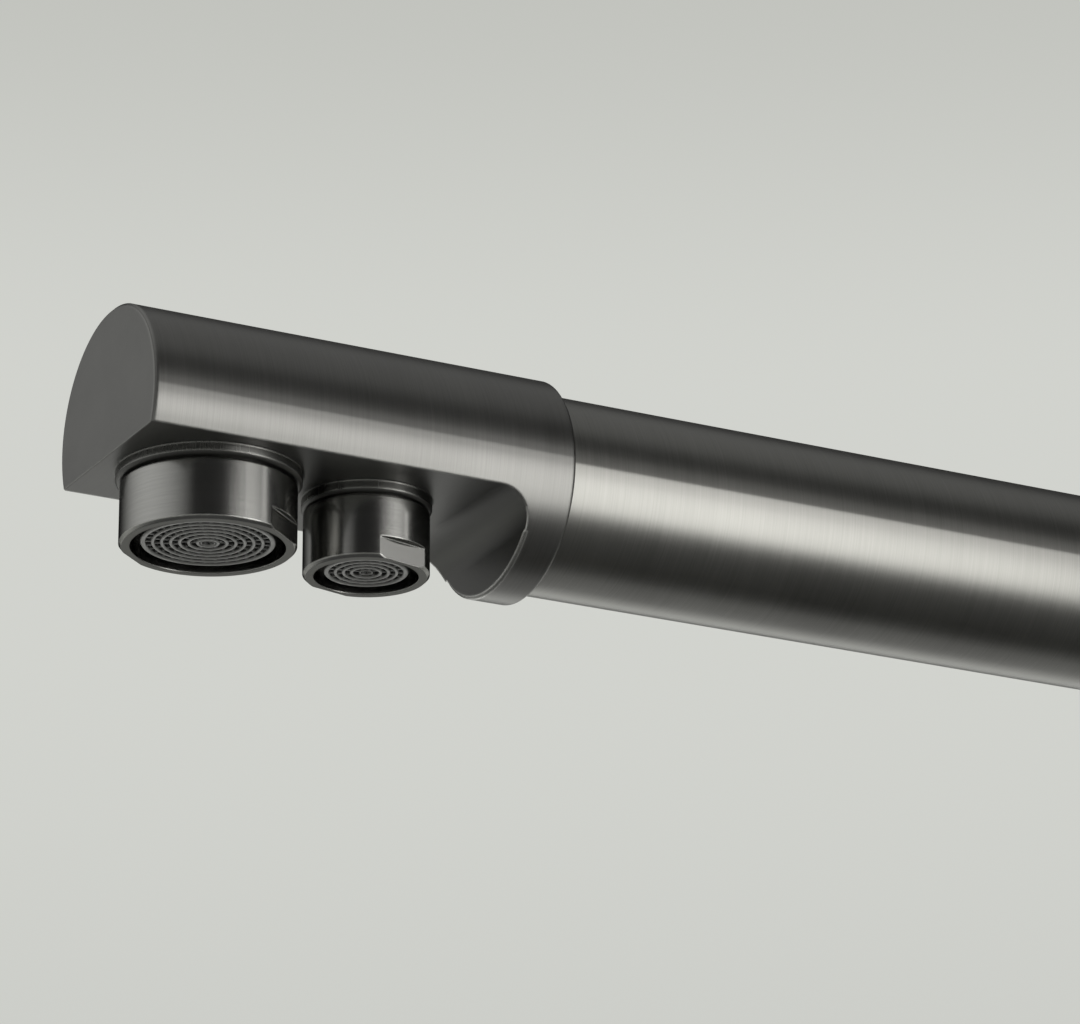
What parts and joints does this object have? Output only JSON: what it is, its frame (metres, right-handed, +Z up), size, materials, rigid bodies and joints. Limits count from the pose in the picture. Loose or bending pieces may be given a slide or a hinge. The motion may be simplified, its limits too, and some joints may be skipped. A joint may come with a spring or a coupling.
{
  "type": "three-way kitchen mixer tap",
  "caption": "Three-way kitchen mixer tap with a swivelling gunmetal spout, a head with separate mixed and filtered water outlets, a mixer lever and a filtered water lever.",
  "frame": {"origin": "on the worktop, on the axis of the body and of the hole in the worktop", "axes": "+Z up, the spout points along -Y, the mixer lever is on +X and the filtered water lever is on -X"},
  "size_m": [0.1298, 0.257, 0.3758],
  "materials": {
    "gunmetal": "brushed gunmetal",
    "spout_gunmetal": "brushed gunmetal, grain along the tube",
    "aerator_gunmetal": "turned gunmetal, brighter than the head",
    "aerator_plastic": "moulded, satin",
    "dark_plastic": "moulded, satin",
    "white_plastic": "moulded, satin",
    "ceramic": "lapped white ceramic",
    "brass": "machined",
    "steel": "machined",
    "rubber": "moulded, matt"
  },
  "bodies": {
    "body": {"base_flange": "gunmetal", "base_gasket": "rubber", "tap_body": "gunmetal", "swivel_bush": "white_plastic", "riser_o_ring": "rubber", "swivel_stop_screw": "steel", "shank": "brass", "rubber_washer": "rubber", "steel_washer": "steel", "lock_nut": "brass", "cartridge_base": "dark_plastic", "cartridge_seals": "rubber", "fixed_disc": "ceramic", "cartridge_housing": "dark_plastic", "cartridge_nut": "brass", "mixer_dome": "gunmetal", "headwork": "brass", "headwork_o_ring": "rubber", "seat_seal": "rubber", "filter_fixed_disc": "ceramic"},
    "spout": {"swivel_cover": "gunmetal", "spigot": "brass", "spigot_o_rings": "rubber", "slide_ring": "white_plastic", "spout_tube": "spout_gunmetal", "inner_tube": "white_plastic", "spout_head": "spout_gunmetal", "head_o_ring": "rubber", "main_aerator_washer": "rubber", "main_aerator_screen": "steel", "main_aerator_insert": "aerator_plastic", "main_aerator_shell": "aerator_gunmetal", "filter_aerator_washer": "rubber", "filter_aerator_insert": "aerator_plastic", "filter_aerator_shell": "aerator_gunmetal"},
    "mixer_carrier": {"cartridge_carrier": "white_plastic", "pivot_pin": "steel"},
    "mixer_disc": {"moving_disc": "ceramic", "disc_driver": "dark_plastic"},
    "mixer_lever": {"lever_stem": "steel", "mixer_hub": "gunmetal", "mixer_rod": "gunmetal", "mixer_grub_screw": "steel", "mixer_plug": "dark_plastic"},
    "filter_lever": {"filter_turning_disc": "ceramic", "spindle": "brass", "spindle_o_rings": "rubber", "spindle_clip": "steel", "filter_hub": "gunmetal", "filter_rod": "gunmetal", "filter_grub_screw": "steel", "filter_plug": "dark_plastic"}
  },
  "joints": [
    {"name": "spout_swivel", "type": "hinge", "parent": "body", "child": "spout", "pos_m": [0, 0, 0.14], "axis": [0, 0, 1], "range_deg": [-60, 60]},
    {"name": "mixer_temperature", "type": "hinge", "parent": "body", "child": "mixer_carrier", "pos_m": [0.0426, 0, 0.074], "axis": [1, 0, 0], "range_deg": [-50, 50]},
    {"name": "mixer_lift", "type": "hinge", "parent": "mixer_carrier", "child": "mixer_lever", "pos_m": [0.0426, 0, 0.074], "axis": [0, 1, 0], "range_deg": [0, 25]},
    {"name": "disc_slide", "type": "slide", "parent": "mixer_carrier", "child": "mixer_disc", "axis": [0, 0, 1], "range_m": [0, 0.0028]},
    {"name": "filter_turn", "type": "hinge", "parent": "body", "child": "filter_lever", "pos_m": [-0.0425, 0, 0.074], "axis": [1, 0, 0], "range_deg": [0, 90]}
  ],
  "couplings": [
    {"joint": "disc_slide", "follows": "mixer_lift", "m_per_rad": 0.0064}
  ]
}
